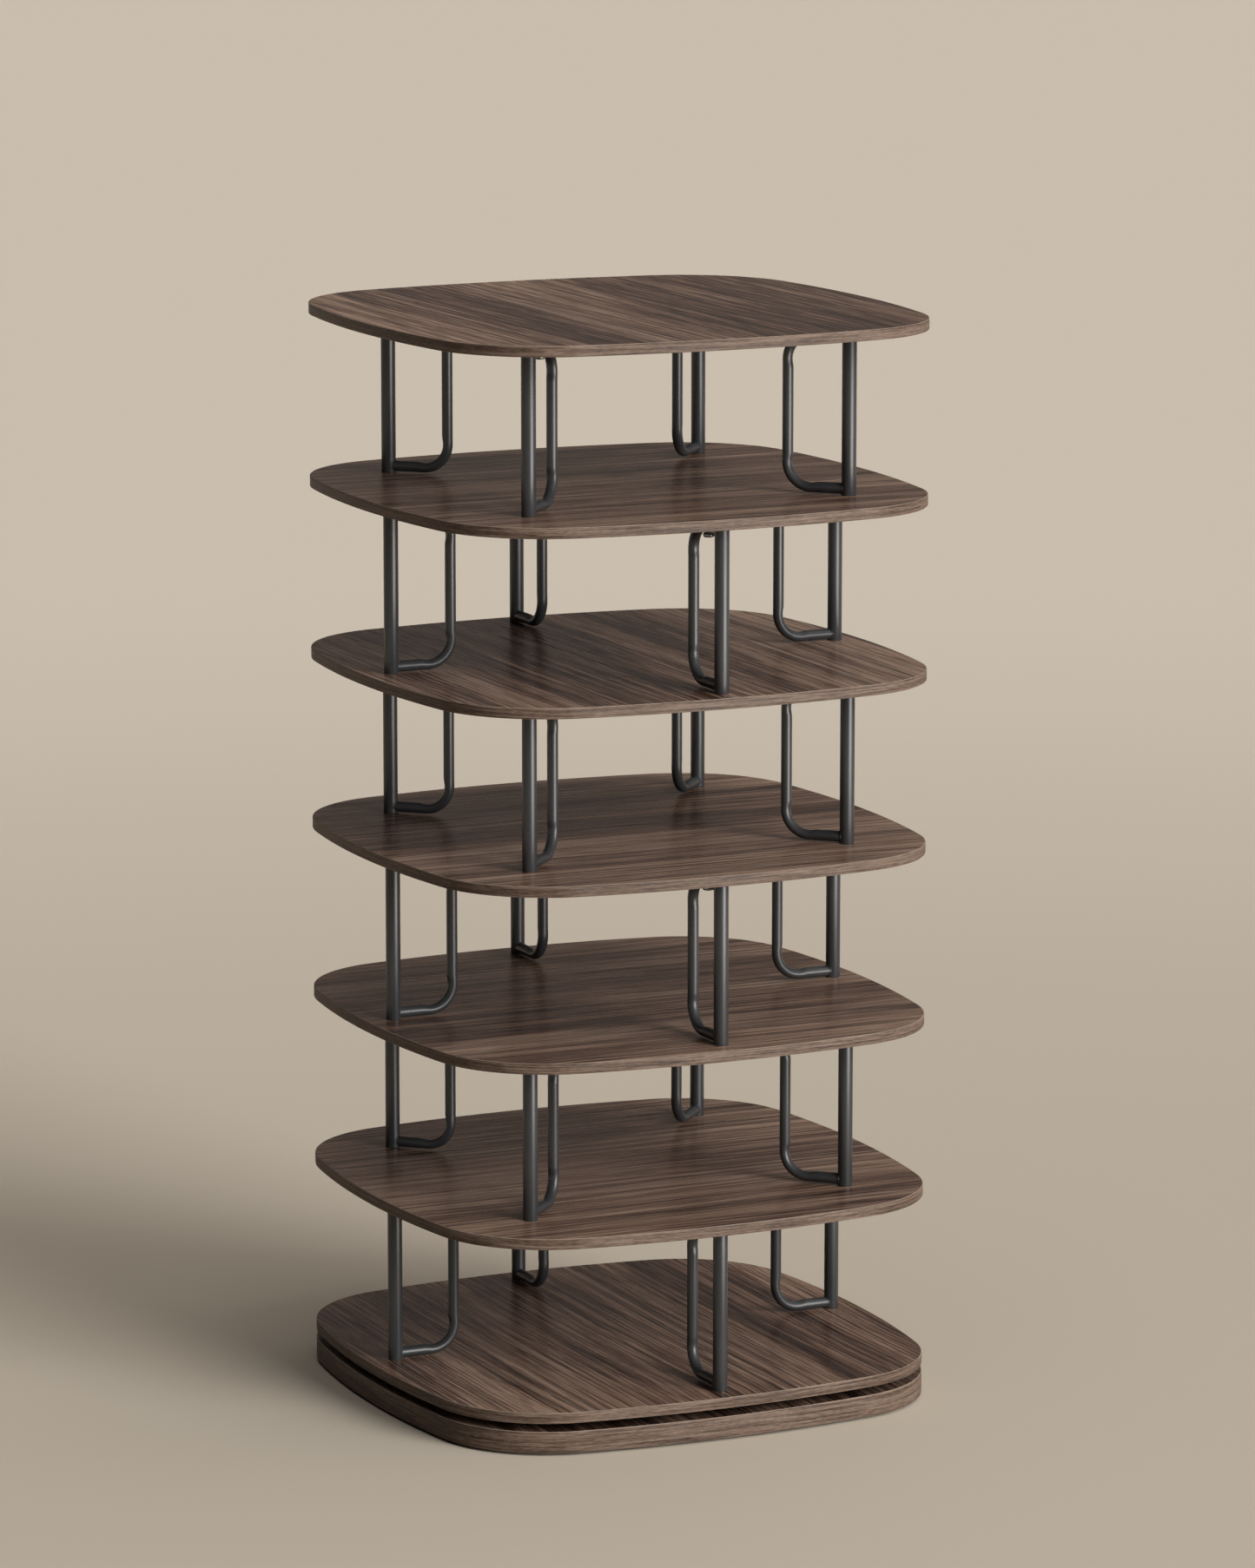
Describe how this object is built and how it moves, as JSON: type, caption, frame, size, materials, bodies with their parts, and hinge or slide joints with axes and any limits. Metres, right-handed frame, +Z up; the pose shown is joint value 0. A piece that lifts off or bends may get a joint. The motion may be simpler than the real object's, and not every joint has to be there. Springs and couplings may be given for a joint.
{
  "type": "rotating shoe tower",
  "caption": "Free-standing tower of rounded-square shelves on welded side brackets, turning on a ring bearing over a fixed base, to store shoes.",
  "frame": {"origin": "on the floor under the middle of the tower, on the turning axis", "axes": "+Z up along the turning axis, -Y to the front, +X to the right"},
  "size_m": [0.5998, 0.5998, 1.2],
  "materials": {
    "board_laminate": "satin brown-grey walnut laminate",
    "edge_band": "satin walnut edge band",
    "bracket_steel": "satin dark grey powder coat",
    "bolt_steel": "black oxide",
    "screw_steel": "zinc plated",
    "plug_steel": "plain",
    "insert_brass": "plain",
    "bearing_aluminium": "plain",
    "ball_steel": "polished",
    "cage_plastic": "plain",
    "pad_rubber": "matt"
  },
  "bodies": {
    "base": {"base_board": "board_laminate", "base_edge_band": "edge_band", "foot_pads": "pad_rubber", "bearing_outer_ring": "bearing_aluminium", "bearing_base_screws": "screw_steel"},
    "ball_cage": {"ball_cage": "cage_plastic", "bearing_balls": "ball_steel"},
    "turntable": {"turntable_board": "board_laminate", "turntable_edge_band": "edge_band", "bearing_inner_ring": "bearing_aluminium", "bearing_top_screws": "screw_steel", "shelf_1": "board_laminate", "shelf_2": "board_laminate", "shelf_3": "board_laminate", "shelf_4": "board_laminate", "shelf_5": "board_laminate", "shelf_6": "board_laminate", "shelf_1_edge_band": "edge_band", "shelf_2_edge_band": "edge_band", "shelf_3_edge_band": "edge_band", "shelf_4_edge_band": "edge_band", "shelf_5_edge_band": "edge_band", "shelf_6_edge_band": "edge_band", "bracket_1_front_right": "bracket_steel", "bracket_1_back_right": "bracket_steel", "bracket_1_back_left": "bracket_steel", "bracket_1_front_left": "bracket_steel", "bracket_2_front": "bracket_steel", "bracket_2_right": "bracket_steel", "bracket_2_back": "bracket_steel", "bracket_2_left": "bracket_steel", "bracket_3_front_right": "bracket_steel", "bracket_3_back_right": "bracket_steel", "bracket_3_back_left": "bracket_steel", "bracket_3_front_left": "bracket_steel", "bracket_4_front": "bracket_steel", "bracket_4_right": "bracket_steel", "bracket_4_back": "bracket_steel", "bracket_4_left": "bracket_steel", "bracket_5_front_right": "bracket_steel", "bracket_5_back_right": "bracket_steel", "bracket_5_back_left": "bracket_steel", "bracket_5_front_left": "bracket_steel", "bracket_6_front": "bracket_steel", "bracket_6_right": "bracket_steel", "bracket_6_back": "bracket_steel", "bracket_6_left": "bracket_steel", "arm_bolts": "bolt_steel", "arm_bolt_inserts": "insert_brass", "post_screws": "screw_steel", "post_plugs": "plug_steel"}
  },
  "joints": [
    {"name": "turntable_spin", "type": "hinge", "parent": "base", "child": "turntable", "pos_m": [0, 0, 0.0315], "axis": [0, 0, 1], "continuous": true},
    {"name": "ball_cage_spin", "type": "hinge", "parent": "base", "child": "ball_cage", "pos_m": [0, 0, 0.0315], "axis": [0, 0, 1], "continuous": true}
  ],
  "couplings": [
    {"joint": "ball_cage_spin", "follows": "turntable_spin", "ratio": 0.5}
  ]
}
